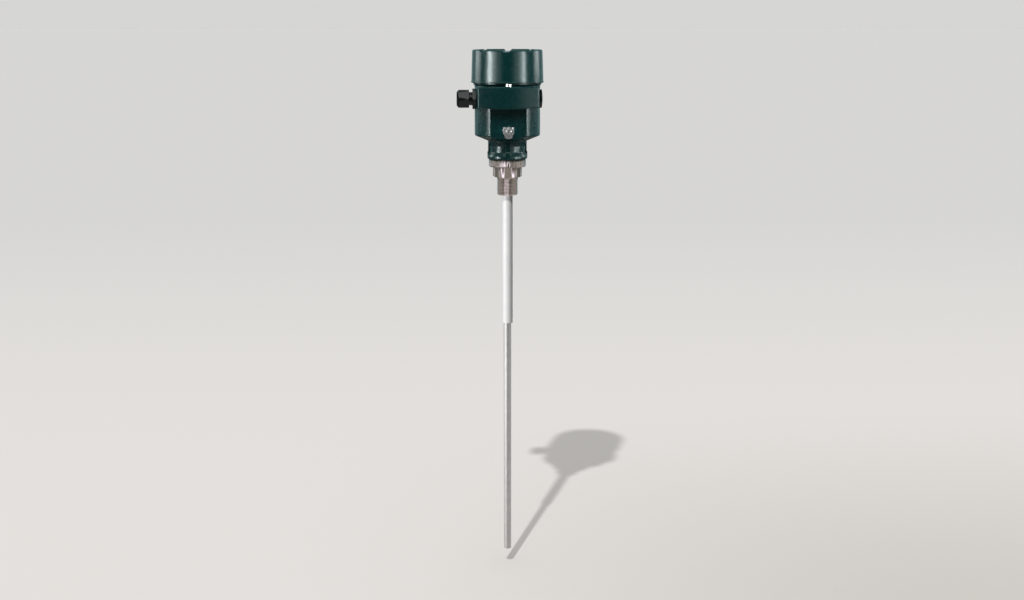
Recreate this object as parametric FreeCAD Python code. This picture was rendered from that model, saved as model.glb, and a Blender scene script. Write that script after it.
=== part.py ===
"""Capacitive level probe: a rod probe with a two-entry housing on a screwed process fitting.

Millimetres. The origin is on the probe's axis, in the sealing face under the hexagon. +Z runs up to
the lid and the rod hangs down along -Z. -Y is the front, with the earth terminal, and the cable gland
points along -X.
"""
import FreeCAD, Part
import math
import os

Vec = FreeCAD.Vector
UP = Vec(0, 0, 1)
LEFT = Vec(-1, 0, 0)
RIGHT = Vec(1, 0, 0)
FRONT = Vec(0, -1, 0)
BACK = Vec(0, 1, 0)
FULL_TURN = 360.0

# Measuring rod and its insulating sleeve
probe_length = 500.0
sleeve_length = 190.0
rod_diameter = 9.5
sleeve_wall = 2.0
rod_tip_chamfer = 0.5
rod_spigot_step = 0.75
rod_board_gap = 5.7
rod_collar_step = 1.75
rod_collar_height = 4.0

# Process fitting
thread_diameter = 26.44
thread_length = 23.0
thread_chamfer = 1.4
hexagon_across_flats = 32.0
hexagon_height = 13.3
hexagon_corner_cut = 1.0
fitting_collar_inset = 0.9
fitting_collar_height = 9.6
fitting_collar_chamfer = 1.2
spigot_diameter = 34.0
spigot_height = 23.1
packing_chamber_wall = 6.0
packing_chamber_floor = 6.0

# Packing that seals and insulates the rod
seal_bush_height = 9.0
upper_insulator_height = 12.0
thrust_washer_height = 1.5
disc_spring_thickness = 1.1
disc_spring_rise = 0.7
disc_spring_count = 2
packing_nut_height = 6.8
packing_nut_slot_width = 3.0
packing_nut_slot_depth = 2.0

# Swivel between the fitting and the housing
swivel_gap = 0.4
swivel_clearance = 0.1
neck_seal_section = 1.7
neck_seal_groove_width = 2.2
neck_seal_heights = (4.1, 16.6)
retaining_ring_thickness = 1.6
retaining_ring_width = 3.0
retaining_ring_opening = 30.0
retaining_groove_depth = 1.2
retaining_gap = 0.3
stop_pin_diameter = 3.0
stop_pin_offset = 3.5
stop_pin_rise = 3.0
stop_pin_depth = 5.0
swivel_range = 165.0

# Housing casting
neck_wall = 7.5
neck_height = 22.9
neck_foot_step = 0.9
neck_foot_height = 8.4
neck_pocket_depth = 1.9
neck_pocket_low = 4.2
neck_pocket_slope = 4.8
neck_pocket_high = 17.0
neck_pocket_roof = 4.4
neck_rib_count = 4
neck_rib_width = 6.3
under_cone_rise = 7.0
drum_radius = 41.5
drum_height = 34.7
drum_corner = 2.0
front_flat_depth = 6.76
front_flat_edge = 0.8
band_proud = 7.0
band_inset = 3.5
band_height = 27.7
band_bow = 130.0
band_low_arch = 1.8
band_top_arch = 1.2
band_edge = 1.4
flange_overhang = 1.7
flange_height = 3.3
flange_lip = 0.9
mouth_step = 0.4
mouth_height = 17.8
drum_wall = 5.2
floor_rise = 2.0
neck_ledge_height = 18.7
ledge_bore_step = 2.3
flat_wall = 4.0
post_radius = 4.5
post_inset = 6.3
post_angle = 40.0
post_hole_depth = 10.0
earth_post_angle = 130.0
earth_post_inset = 3.8
earth_post_rise = 2.5
clamp_boss_diameter = 11.0
clamp_boss_proud = 1.7
clamp_screw_diameter = 5.0
clamp_screw_height = 10.7
clamp_screw_length = 7.4
clamp_socket_across_flats = 2.5
clamp_socket_depth = 3.0

# Cable entries
entry_rise = 45.7
entry_pad_depth = 2.5
entry_boss_diameter = 27.0
entry_spot_step = 1.3
entry_boss_reach = 11.0
entry_thread_diameter = 20.0
thread_clearance = 0.1
gasket_thickness = 1.0
gasket_diameter = 24.0

# Cable gland, measured outwards from the entry face
gland_hexagon_across_flats = 25.0
gland_hexagon_height = 4.2
gland_corner_cut = 0.5
gland_shank_length = 10.0
gland_bore_diameter = 12.0
gland_sleeve_diameter = 16.7
gland_sleeve_wall = 1.3
gland_sleeve_length = 11.0
gland_seal_bore = 10.0
gland_seal_length = 12.0
gland_ring_thickness = 1.5
gland_nut_across_flats = 22.0
gland_nut_length = 15.7
gland_nut_dome = 3.6
gland_nut_gap = 4.3
gland_nut_hole = 12.6
gland_nut_wall = 3.2
running_gap = 0.3

# Blind plug, measured outwards from the entry face
plug_head_diameter = 23.5
plug_head_height = 3.4
plug_dome_rise = 1.2
plug_shank_length = 9.0
plug_shank_wall = 2.0
plug_slot_width = 2.4
plug_slot_depth = 1.6
plug_slot_length = 16.0

# Screw lid
lid_height = 40.9
lid_gap = 0.4
lid_skirt_wall = 3.8
lid_taper = 1.8
lid_corner = 2.0
lid_foot_lip = 0.5
lid_foot_lip_height = 1.4
lid_thread_clearance = 0.3
lid_plate_thickness = 4.2
lid_rim_height = 2.5
lid_rim_width = 7.0
lid_notch_count = 8
lid_notch_width = 9.4
lid_notch_foot_width = 7.0
lid_stop_angle = -3.7
lid_bore_step = 0.5
lid_seal_section = 2.8
lid_seal_inset = 1.5

# Lid lock screw, in the top of the band
lock_offset = 1.0
lock_head_diameter = 8.0
lock_head_height = 4.7
lock_shank_diameter = 5.0
lock_shank_length = 12.0
lock_washer_thickness = 1.0
lock_travel = 3.0
lock_head_gap = 0.3
lock_socket_across_flats = 4.0
lock_socket_depth = 2.6
lock_pocket_clearance = 0.3

# Outer earth terminal, on the front flat
earth_height = 7.5
earth_pad_diameter = 14.0
earth_pad_proud = 1.2
earth_boss_diameter = 11.0
earth_boss_reach = 3.6
earth_clamp_width = 13.4
earth_clamp_height = 8.4
earth_clamp_drop = 3.6
earth_clamp_thickness = 1.6
earth_ear_thickness = 2.2
earth_ear_reach = 4.4
earth_tongue_root = 11.4
earth_tongue_width = 7.8
earth_tongue_length = 6.0
earth_tongue_round = 2.4
earth_washer_diameter = 7.6
earth_washer_thickness = 1.0
earth_screw_diameter = 5.0
earth_screw_length = 9.0
earth_head_diameter = 7.0
earth_head_height = 2.8
earth_socket_across_flats = 3.0
earth_socket_depth = 1.6

# Electronics module
module_post_gap = 0.5
module_wall = 2.0
module_floor = 2.0
module_lift = 2.5
module_flange_inset = 2.3
module_flange_share = 0.84
module_flange_thickness = 2.5
module_screw_diameter = 4.0
module_screw_head_diameter = 7.0
module_screw_head_height = 2.6
module_screw_length = 14.0
board_depth = 14.5
module_entry_gap = 0.7
board_ledge_width = 1.5
board_thickness = 1.6
cover_thickness = 2.5
socket_diameter = 11.0
socket_collar_diameter = 14.0
socket_collar_height = 1.5
socket_clearance = 0.08
socket_reach = 5.0
terminal_length_share = 1.04
terminal_width_share = 0.48
terminal_rise = 11.0
terminal_poles = 4
terminal_pitch_share = 0.24
terminal_entry_share = 0.136
terminal_screw_share = 0.136
terminal_screw_length = 3.0
lamp_share = 0.12
lamp_rise = 1.0
control_offset_share = 0.48
control_setback_share = 0.46
adjuster_base_share = 0.28
adjuster_base_height = 6.0
adjuster_share = 0.2
adjuster_rise = 1.2
adjuster_slot = 1.0
switch_base_length_share = 0.36
switch_base_width_share = 0.2
switch_base_height = 9.0
switch_knob_length_share = 0.12
switch_knob_width_share = 0.096
switch_travel_share = 0.16
switch_rise = 2.0
fit_clearance = 0.15
capacitor_share = 0.12
capacitor_height = 9.0
capacitor_angles = (220.0, 245.0)
coil_length_share = 0.36
coil_width_share = 0.32
coil_height = 6.5
coil_angle = 289.0
chip_length_share = 0.28
chip_width_share = 0.2
chip_height = 1.6
chip_angle = 330.0
component_edge_gap = 0.5

# Roundings and small edges
foot_round = 1.8
cast_round = 0.8
shoulder_round = 1.2
paint_round = 0.3
lid_edge_round = 0.4
lid_room_round = 3.0
seat_edge = 0.6
dome_round = 2.0
screw_head_round = 0.6
ear_round = 0.7
washer_split = 0.6
spring_bore_gap = 1.2
packing_bore_gap = 1.6
screw_slot_width = 1.0
screw_slot_depth = 1.2
pole_slot_width = 0.7
pole_slot_depth = 0.8
pole_sink = 1.0
pole_floor = 1.5

# Levels along the axis, worked out from the sizes above
hexagon_top = hexagon_height
collar_top = hexagon_top + fitting_collar_height
spigot_top = collar_top + spigot_height
neck_low = collar_top + swivel_gap
neck_top = neck_low + neck_height
neck_ledge = neck_low + neck_ledge_height
drum_low = neck_top + under_cone_rise
cavity_floor = drum_low + floor_rise
band_low = drum_low + drum_height
band_top = band_low + band_height
flange_top = band_top + flange_height
mouth_top = flange_top + mouth_height
lid_low = flange_top + lid_gap
lid_top = lid_low + lid_height
entry_height = drum_low + entry_rise
earth_level = drum_low + earth_height

# Radii of the rod, the fitting and the neck
rod_radius = rod_diameter / 2
rod_spigot_radius = rod_radius - rod_spigot_step
sleeve_radius = rod_radius + sleeve_wall
rod_collar_radius = sleeve_radius + rod_collar_step
spigot_radius = spigot_diameter / 2
chamber_radius = spigot_radius - packing_chamber_wall
neck_bore_radius = spigot_radius + swivel_clearance
ledge_bore_radius = spigot_radius + ledge_bore_step
stop_pin_distance = spigot_radius + stop_pin_offset
neck_radius = neck_bore_radius + neck_wall
neck_foot_radius = neck_radius + neck_foot_step
fitting_collar_radius = neck_radius - fitting_collar_inset

# Radii of the housing and the lid
cavity_radius = drum_radius - drum_wall
flat_distance = drum_radius - front_flat_depth
band_front = drum_radius + band_proud
band_half_width = drum_radius - band_inset
flange_radius = drum_radius + flange_overhang
mouth_radius = drum_radius + mouth_step
entry_face = drum_radius - entry_pad_depth
lock_distance = drum_radius + lock_offset
gland_shank_radius = entry_thread_diameter / 2 - thread_clearance
lid_thread_radius = mouth_radius + lid_thread_clearance
lid_foot_radius = lid_thread_radius + lid_skirt_wall
lid_head_radius = lid_foot_radius - lid_taper
lid_bore_radius = cavity_radius + lid_bore_step
lid_seal_radius = mouth_radius - lid_seal_inset

# Plan of the electronics module, as shares of its radius
post_distance = cavity_radius - post_inset
earth_post_distance = cavity_radius - earth_post_inset
module_radius = post_distance - post_radius - module_post_gap
module_flange_radius = cavity_radius - module_flange_inset
module_flange_half_width = module_radius * module_flange_share
board_radius = module_radius - module_wall - fit_clearance
terminal_length = module_radius * terminal_length_share
terminal_width = module_radius * terminal_width_share
terminal_pitch = module_radius * terminal_pitch_share
terminal_entry = module_radius * terminal_entry_share
terminal_screw_diameter = module_radius * terminal_screw_share
lamp_diameter = module_radius * lamp_share
control_offset = module_radius * control_offset_share
control_setback = module_radius * control_setback_share
adjuster_base_side = module_radius * adjuster_base_share
adjuster_diameter = module_radius * adjuster_share
switch_base_length = module_radius * switch_base_length_share
switch_base_width = module_radius * switch_base_width_share
switch_knob_length = module_radius * switch_knob_length_share
switch_knob_width = module_radius * switch_knob_width_share
switch_travel = module_radius * switch_travel_share
capacitor_radius = module_radius * capacitor_share
coil_length = module_radius * coil_length_share
coil_width = module_radius * coil_width_share
chip_length = module_radius * chip_length_share
chip_width = module_radius * chip_width_share

# Levels of the packing inside the fitting
bush_top = packing_chamber_floor + seal_bush_height
rod_collar_top = bush_top + rod_collar_height
insulator_top = bush_top + upper_insulator_height
washer_top = insulator_top + thrust_washer_height
spring_step = disc_spring_thickness + disc_spring_rise
springs_top = washer_top + disc_spring_count * spring_step

# Levels of the electronics module, hung just under the entry bosses
cover_top = entry_height - entry_boss_diameter / 2 - module_entry_gap
module_top = cover_top - cover_thickness
post_top = module_top - module_flange_thickness
earth_post_top = cover_top + earth_post_rise
module_low = cavity_floor + module_lift
module_floor_top = module_low + module_floor
board_low = module_top - board_depth
board_top = board_low + board_thickness
rod_top = board_low - rod_board_gap


def cylinder(radius, low, high, x=0.0, y=0.0):
    """An upright cylinder."""
    return Part.makeCylinder(radius, high - low, Vec(x, y, low), UP)


def ring(outer, inner, low, high, x=0.0, y=0.0):
    """An upright tube."""
    return cylinder(outer, low, high, x, y).cut(cylinder(inner, low, high, x, y))


def block(length, width, low, high, x=0.0, y=0.0):
    """An upright block centred on x, y."""
    return Part.makeBox(length, width, high - low, Vec(x - length / 2, y - width / 2, low))


def rounded_wire(corners):
    """A closed outline in the XZ plane from (x, z, rounding) corners, arced where rounded."""
    edges = []
    starts = []
    ends = []
    count = len(corners)
    for index in range(count):
        here = Vec(corners[index][0], 0, corners[index][1])
        before = Vec(corners[index - 1][0], 0, corners[index - 1][1])
        after = Vec(corners[(index + 1) % count][0], 0, corners[(index + 1) % count][1])
        rounding = corners[index][2] if len(corners[index]) > 2 else 0.0
        if rounding:
            back = (before - here).normalize()
            ahead = (after - here).normalize()
            half = back.getAngle(ahead) / 2
            reach = rounding / math.tan(half)
            middle = (back + ahead).normalize()
            centre = here + middle * (rounding / math.sin(half))
            first = here + back * reach
            last = here + ahead * reach
            edges.append(Part.Arc(first, centre - middle * rounding, last).toShape())
            starts.append(first)
            ends.append(last)
        else:
            starts.append(here)
            ends.append(here)
    for index in range(count):
        first = ends[index]
        last = starts[(index + 1) % count]
        edges.append(Part.LineSegment(first, last).toShape())
    return Part.Wire(Part.__sortEdges__(edges))


def turned(corners, angle=FULL_TURN, start=0.0):
    """A solid turned about the axis from an outline of (radius, height, rounding) corners."""
    face = Part.Face(rounded_wire(corners))
    solid = face.revolve(Vec(0, 0, 0), UP, angle)
    if start:
        solid.rotate(Vec(0, 0, 0), UP, start)
    return solid


def hexagon(across_flats, low, high, flat_angle=0.0):
    """An upright hexagonal prism with a flat facing flat_angle."""
    radius = across_flats / 2 / math.cos(math.radians(30))
    points = []
    for corner in range(7):
        angle = math.radians(flat_angle + 30 + 60 * corner)
        points.append(Vec(radius * math.cos(angle), radius * math.sin(angle), low))
    return Part.Face(Part.makePolygon(points)).extrude(UP * (high - low))


def wrench_hexagon(across_flats, low, high, corner_cut, flat_angle=0.0):
    """A hexagon whose corners are turned off at both ends, as on a nut."""
    radius = across_flats / 2 / math.cos(math.radians(30))
    blank = turned([
        (0, low),
        (radius - 2 * corner_cut, low),
        (radius, low + corner_cut),
        (radius, high - corner_cut),
        (radius - 2 * corner_cut, high),
        (0, high),
    ])
    return hexagon(across_flats, low, high, flat_angle).common(blank)


def torus(radius, section, level):
    """An O-ring lying flat at a level."""
    return Part.makeTorus(radius, section / 2, Vec(0, 0, level), UP)


def aimed(shape, place, direction):
    """A shape modelled along +Z, moved to a place with its +Z along a direction."""
    moved = shape.copy()
    moved.Placement = FreeCAD.Placement(place, FreeCAD.Rotation(UP, direction))
    return moved


def around(shape, count, start=0.0):
    """Copies of a shape turned about the axis."""
    copies = []
    for index in range(count):
        copy = shape.copy()
        copy.rotate(Vec(0, 0, 0), UP, start + index * FULL_TURN / count)
        copies.append(copy)
    return copies


def joined(first, others):
    """One solid from several that touch or overlap."""
    solid = first.multiFuse(others)
    return solid.removeSplitter()


def rod():
    """The steel electrode: bare below the sleeve, with a collar and a contact spigot in the fitting."""
    collar = rod_collar_radius
    return turned([
        (0, -probe_length),
        (rod_radius - rod_tip_chamfer, -probe_length),
        (rod_radius, -probe_length + rod_tip_chamfer),
        (rod_radius, bush_top),
        (collar, bush_top),
        (collar, rod_collar_top),
        (rod_spigot_radius, rod_collar_top),
        (rod_spigot_radius, rod_top - rod_tip_chamfer),
        (rod_spigot_radius - rod_tip_chamfer, rod_top),
        (0, rod_top),
    ])


def insulation_sleeve():
    """The white plastic sleeve shrunk on the upper part of the rod."""
    return ring(sleeve_radius, rod_radius, -sleeve_length, bush_top)


def process_fitting():
    """Thread, hexagon, collar and swivel spigot, turned from one bar."""
    thread_radius = thread_diameter / 2
    collar_radius = fitting_collar_radius
    stem = turned([
        (0, -thread_length),
        (thread_radius - thread_chamfer, -thread_length),
        (thread_radius, -thread_length + thread_chamfer),
        (thread_radius, 0),
        (thread_radius, hexagon_top),
        (collar_radius - fitting_collar_chamfer, hexagon_top),
        (collar_radius, hexagon_top + fitting_collar_chamfer),
        (collar_radius, collar_top),
        (spigot_radius, collar_top),
        (spigot_radius, spigot_top - swivel_gap),
        (spigot_radius - swivel_gap, spigot_top),
        (0, spigot_top),
    ])
    nut = wrench_hexagon(hexagon_across_flats, 0, hexagon_top, hexagon_corner_cut, 90)
    solid = joined(stem, [nut])
    solid = solid.cut(cylinder(sleeve_radius + thread_clearance, -thread_length, spigot_top))
    solid = solid.cut(cylinder(chamber_radius, packing_chamber_floor, spigot_top))
    for height in neck_seal_heights:
        middle = collar_top + height
        half = neck_seal_groove_width / 2
        solid = solid.cut(ring(
            spigot_radius + 1, seal_groove_radius(), middle - half, middle + half,
        ))
    low = neck_ledge + retaining_gap
    high = low + retaining_ring_thickness + fit_clearance
    solid = solid.cut(ring(spigot_radius + 1, spigot_radius - retaining_groove_depth, low, high))
    pin_x, pin_y = stop_pin_place()
    hole = cylinder(stop_pin_diameter / 2, collar_top - stop_pin_depth, collar_top, pin_x, pin_y)
    return solid.cut(hole)


def seal_groove_radius():
    """The bottom of the neck seals' grooves."""
    return neck_bore_radius - neck_seal_section - 2 * fit_clearance


def stop_pin_place():
    """The stop pin stands at the back of the collar."""
    return 0.0, stop_pin_distance


def stop_pin():
    """A pressed pin that runs in the housing's groove and ends the swivel."""
    pin_x, pin_y = stop_pin_place()
    return cylinder(
        stop_pin_diameter / 2, collar_top - stop_pin_depth, collar_top + stop_pin_rise, pin_x, pin_y,
    )


def neck_seals():
    """Two O-rings that keep weather out of the swivel."""
    radius = seal_groove_radius() + neck_seal_section / 2 + fit_clearance / 2
    rings = [torus(radius, neck_seal_section, collar_top + height) for height in neck_seal_heights]
    return Part.makeCompound(rings)


def retaining_ring():
    """The open snap ring that holds the housing down on the spigot."""
    low = neck_ledge + retaining_gap
    inner = spigot_radius - retaining_groove_depth
    outer = inner + retaining_ring_width
    sweep = FULL_TURN - retaining_ring_opening
    corners = [
        (inner, low),
        (outer, low),
        (outer, low + retaining_ring_thickness),
        (inner, low + retaining_ring_thickness),
    ]
    return turned(corners, sweep, 90 + retaining_ring_opening / 2)


def seal_bush():
    """The soft ring pressed round the sleeve at the bottom of the chamber."""
    return ring(chamber_radius, sleeve_radius, packing_chamber_floor, bush_top)


def upper_insulator():
    """The stiff plastic bush over the rod's collar."""
    solid = ring(chamber_radius, rod_spigot_radius, bush_top, insulator_top)
    return solid.cut(cylinder(rod_collar_radius, bush_top, rod_collar_top))


def thrust_washer():
    """The flat washer under the disc springs."""
    return ring(
        chamber_radius - fit_clearance, rod_spigot_radius + spring_bore_gap, insulator_top, washer_top,
    )


def disc_springs():
    """Conical washers, stacked turn and turn about, that keep the packing tight."""
    inner = rod_spigot_radius + spring_bore_gap
    outer = chamber_radius - 2 * fit_clearance
    springs = []
    for index in range(disc_spring_count):
        low = washer_top + index * spring_step
        inner_low = low + disc_spring_rise * (1 - index % 2)
        outer_low = low + disc_spring_rise * (index % 2)
        springs.append(turned([
            (inner, inner_low),
            (outer, outer_low),
            (outer, outer_low + disc_spring_thickness),
            (inner, inner_low + disc_spring_thickness),
        ]))
    return Part.makeCompound(springs)


def packing_nut():
    """The threaded ring that loads the packing, with two spanner slots."""
    high = springs_top + packing_nut_height
    bore = rod_spigot_radius + packing_bore_gap
    nut = ring(chamber_radius - thread_clearance, bore, springs_top, high)
    slot = block(2 * chamber_radius, packing_nut_slot_width, high - packing_nut_slot_depth, high)
    return nut.cut(slot)


def housing_outside():
    """The turned outer form of the casting, from the neck's foot to the threaded mouth."""
    blend = neck_foot_radius - neck_radius
    solid = turned([
        (0, neck_low),
        (neck_foot_radius, neck_low, foot_round),
        (neck_foot_radius, neck_low + neck_foot_height, cast_round),
        (neck_radius, neck_low + neck_foot_height + 2 * blend, cast_round),
        (neck_radius, neck_top, shoulder_round),
        (drum_radius, drum_low, drum_corner),
        (drum_radius, band_top - paint_round),
        (flange_radius, flange_top - flange_lip, paint_round),
        (flange_radius, flange_top, paint_round),
        (mouth_radius, flange_top),
        (mouth_radius, mouth_top, cast_round),
        (0, mouth_top),
    ])
    reach = drum_radius
    flat = Part.makeBox(
        2 * drum_radius, reach, drum_height + under_cone_rise,
        Vec(-drum_radius, -flat_distance - reach, neck_top),
    )
    solid = solid.cut(flat)
    corners = []
    for edge in solid.Edges:
        middle = edge.CenterOfMass
        upright = edge.BoundBox.ZLength > drum_height / 2 and edge.BoundBox.XLength < 0.01
        if upright and abs(middle.y + flat_distance) < 0.01:
            corners.append(edge)
    return solid.makeFillet(front_flat_edge, corners)


def neck_pocket():
    """One cast hollow between two ribs of the neck, at angle 0."""
    rib_angle = 2 * math.degrees(math.asin(neck_rib_width / 2 / neck_radius))
    sweep = FULL_TURN / neck_rib_count - rib_angle
    floor = neck_radius - neck_pocket_depth
    outside = 2 * neck_foot_radius - neck_radius
    return turned([
        (floor, neck_low + neck_pocket_low + neck_pocket_slope, cast_round),
        (neck_foot_radius, neck_low + neck_pocket_low),
        (outside, neck_low + neck_pocket_low),
        (outside, neck_low + neck_pocket_high + neck_pocket_roof),
        (neck_radius, neck_low + neck_pocket_high + neck_pocket_roof),
        (floor, neck_low + neck_pocket_high, cast_round),
    ], sweep, -sweep / 2)


def front_band():
    """The name panel across the front, left bare: gently bowed, and tallest in its middle."""
    half = band_half_width
    low_end = band_low + band_low_arch
    top_end = band_top - band_top_arch
    bottom = Part.Arc(Vec(-half, 0, low_end), Vec(0, 0, band_low), Vec(half, 0, low_end)).toShape()
    top = Part.Arc(Vec(-half, 0, top_end), Vec(0, 0, band_top), Vec(half, 0, top_end)).toShape()
    ends = [
        Part.makeLine(Vec(-half, 0, low_end), Vec(-half, 0, top_end)),
        Part.makeLine(Vec(half, 0, low_end), Vec(half, 0, top_end)),
    ]
    outline = Part.Wire(Part.__sortEdges__([bottom, top] + ends))
    panel = Part.Face(outline).extrude(FRONT * band_front)
    bow = cylinder(band_bow, band_low, band_top, 0, band_bow - band_front)
    solid = panel.common(bow)
    end_y = band_bow - band_front - math.sqrt(band_bow ** 2 - half ** 2)
    edges = [edge for edge in solid.Edges if edge.BoundBox.YMax < end_y + 0.01]
    return solid.makeFillet(band_edge, edges)


def cavity():
    """The room inside the casting, with a flat front wall behind the earth terminal."""
    room = cylinder(cavity_radius, cavity_floor, mouth_top)
    wall = Part.makeBox(
        2 * cavity_radius, cavity_radius, band_low + 2 - cavity_floor,
        Vec(-cavity_radius, -(flat_distance - flat_wall) - cavity_radius, cavity_floor),
    )
    return room.cut(wall)


def stop_groove():
    """The groove in the neck's foot that the stop pin runs in."""
    middle = stop_pin_distance
    half = stop_pin_diameter / 2 + 2 * fit_clearance
    pin_angle = math.degrees(math.asin((stop_pin_diameter / 2 + fit_clearance) / middle))
    sweep = 2 * (swivel_range + pin_angle)
    top = neck_low - swivel_gap + stop_pin_rise + 2 * fit_clearance
    return turned([
        (middle - half, neck_low),
        (middle + half, neck_low),
        (middle + half, top),
        (middle - half, top),
    ], sweep, 90 - sweep / 2)


def post_places():
    """Where the two module posts stand, clear of the entry bosses."""
    angle = math.radians(post_angle)
    post_x = post_distance * math.cos(angle)
    post_y = post_distance * math.sin(angle)
    return ((-post_x, -post_y), (post_x, post_y))


def earth_post_place():
    """Where the inner earth screw's post stands."""
    angle = math.radians(earth_post_angle)
    return earth_post_distance * math.cos(angle), earth_post_distance * math.sin(angle)


def housing_body():
    """The painted aluminium casting in one piece."""
    solid = housing_outside()
    first_rib = -90.0
    for pocket in around(neck_pocket(), neck_rib_count, first_rib + FULL_TURN / neck_rib_count / 2):
        solid = solid.cut(pocket)
    spot_radius = entry_boss_diameter / 2 + entry_spot_step
    for side in (LEFT, RIGHT):
        face = Vec(side.x * entry_face, 0, entry_height)
        solid = solid.cut(Part.makeCylinder(spot_radius, drum_radius, face, side))
    pads = [front_band()]
    for side in (LEFT, RIGHT):
        start = Vec(side.x * (entry_face - entry_boss_reach), 0, entry_height)
        pads.append(Part.makeCylinder(entry_boss_diameter / 2, entry_boss_reach, start, side))
    clamp_start = Vec(0, neck_bore_radius, collar_top + clamp_screw_height)
    clamp_reach = neck_radius + clamp_boss_proud - neck_bore_radius
    pads.append(Part.makeCylinder(clamp_boss_diameter / 2, clamp_reach, clamp_start, BACK))
    pad_start = Vec(0, -flat_distance + flat_wall / 2, earth_level)
    pad_reach = flat_wall / 2 + earth_pad_proud
    pads.append(Part.makeCylinder(earth_pad_diameter / 2, pad_reach, pad_start, FRONT))
    solid = joined(solid, pads)

    solid = solid.cut(cavity())
    inside = []
    for side in (LEFT, RIGHT):
        start = Vec(side.x * (entry_face - entry_boss_reach), 0, entry_height)
        inside.append(Part.makeCylinder(entry_boss_diameter / 2, entry_boss_reach - 1, start, side))
    for post_x, post_y in post_places():
        inside.append(cylinder(post_radius, cavity_floor - 1, post_top, post_x, post_y))
    earth_x, earth_y = earth_post_place()
    inside.append(cylinder(post_radius, cavity_floor - 1, earth_post_top, earth_x, earth_y))
    boss_start = Vec(0, -flat_distance + flat_wall - 1, earth_level)
    inside.append(Part.makeCylinder(earth_boss_diameter / 2, earth_boss_reach + 1, boss_start, BACK))
    solid = joined(solid, inside)

    solid = solid.cut(cylinder(neck_bore_radius, neck_low - 1, neck_ledge + 1))
    solid = solid.cut(cylinder(ledge_bore_radius, neck_ledge, cavity_floor + 1))
    solid = solid.cut(stop_groove())
    hole_radius = entry_thread_diameter / 2
    for side in (LEFT, RIGHT):
        inner = Vec(side.x * (entry_face - entry_boss_reach - 1), 0, entry_height)
        solid = solid.cut(Part.makeCylinder(hole_radius, entry_boss_reach + 2, inner, side))
    screw_radius = module_screw_diameter / 2
    hole_floor = post_top - post_hole_depth
    for post_x, post_y in post_places():
        solid = solid.cut(cylinder(screw_radius, hole_floor, post_top, post_x, post_y))
    hole_floor = earth_post_top - post_hole_depth
    solid = solid.cut(cylinder(screw_radius, hole_floor, earth_post_top, earth_x, earth_y))
    solid = solid.cut(Part.makeCylinder(
        clamp_screw_diameter / 2, drum_radius, Vec(0, 0, collar_top + clamp_screw_height), BACK,
    ))
    earth_face = Vec(0, earth_seat(), earth_level)
    solid = solid.cut(Part.makeCylinder(earth_screw_diameter / 2, earth_screw_length, earth_face, BACK))

    washer_low = lock_head_low() - lock_washer_thickness
    pocket_low = washer_low - lock_travel - lock_head_gap
    pocket_radius = lock_head_diameter / 2 + lock_pocket_clearance
    shank_low = washer_low + lock_washer_thickness - lock_shank_length - lock_travel
    solid = solid.cut(cylinder(pocket_radius, pocket_low, lid_low, 0, -lock_distance))
    return solid.cut(cylinder(
        lock_shank_diameter / 2 + thread_clearance, shank_low - 1, pocket_low, 0, -lock_distance,
    ))


def clamp_screw():
    """The grub screw at the back of the neck that locks the swivel."""
    start = Vec(0, spigot_radius + swivel_clearance, collar_top + clamp_screw_height)
    screw = Part.makeCylinder(clamp_screw_diameter / 2, clamp_screw_length, Vec(0, 0, 0), UP)
    socket = hexagon(
        clamp_socket_across_flats, clamp_screw_length - clamp_socket_depth, clamp_screw_length,
    )
    return aimed(screw.cut(socket), start, BACK)


def gasket():
    """A flat ring gasket for an M20 entry, along +Z from the entry face."""
    return ring(gasket_diameter / 2, gland_shank_radius + running_gap, 0, gasket_thickness)


def on_left(shape):
    """Seats a gland piece on the left entry."""
    return aimed(shape, Vec(-entry_face, 0, entry_height), LEFT)


def on_right(shape):
    """Seats a plug piece on the right entry."""
    return aimed(shape, Vec(entry_face, 0, entry_height), RIGHT)


def gland_collar_top():
    """How far the gland's own hexagon stands off the entry face."""
    return gasket_thickness + gland_hexagon_height


def gland_sleeve_top():
    """How far the gland's clamping sleeve stands off the entry face."""
    return gland_collar_top() + gland_sleeve_length


def gland_body():
    """Shank, hexagon and clamping sleeve of the cable gland."""
    collar = wrench_hexagon(
        gland_hexagon_across_flats, gasket_thickness, gland_collar_top(), gland_corner_cut,
    )
    shank = cylinder(gland_shank_radius, -gland_shank_length, gasket_thickness)
    sleeve = cylinder(gland_sleeve_diameter / 2, gland_collar_top(), gland_sleeve_top())
    solid = joined(collar, [shank, sleeve])
    solid = solid.cut(cylinder(gland_bore_diameter / 2, -gland_shank_length, gland_sleeve_top()))
    seat_radius = gland_sleeve_diameter / 2 - gland_sleeve_wall
    return on_left(solid.cut(cylinder(seat_radius, gland_collar_top(), gland_sleeve_top())))


def gland_seal_top():
    """How far the rubber seal stands off the entry face."""
    return gland_collar_top() + gland_seal_length


def gland_seal():
    """The rubber insert that grips the cable."""
    outer = gland_sleeve_diameter / 2 - gland_sleeve_wall
    return on_left(ring(outer, gland_seal_bore / 2, gland_collar_top(), gland_seal_top()))


def gland_ring():
    """The slip ring between the seal and the turning nut."""
    low = gland_seal_top() + running_gap
    outer = gland_sleeve_diameter / 2 - gland_sleeve_wall / 2
    return on_left(ring(outer, gland_seal_bore / 2 + 0.4, low, low + gland_ring_thickness))


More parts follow.
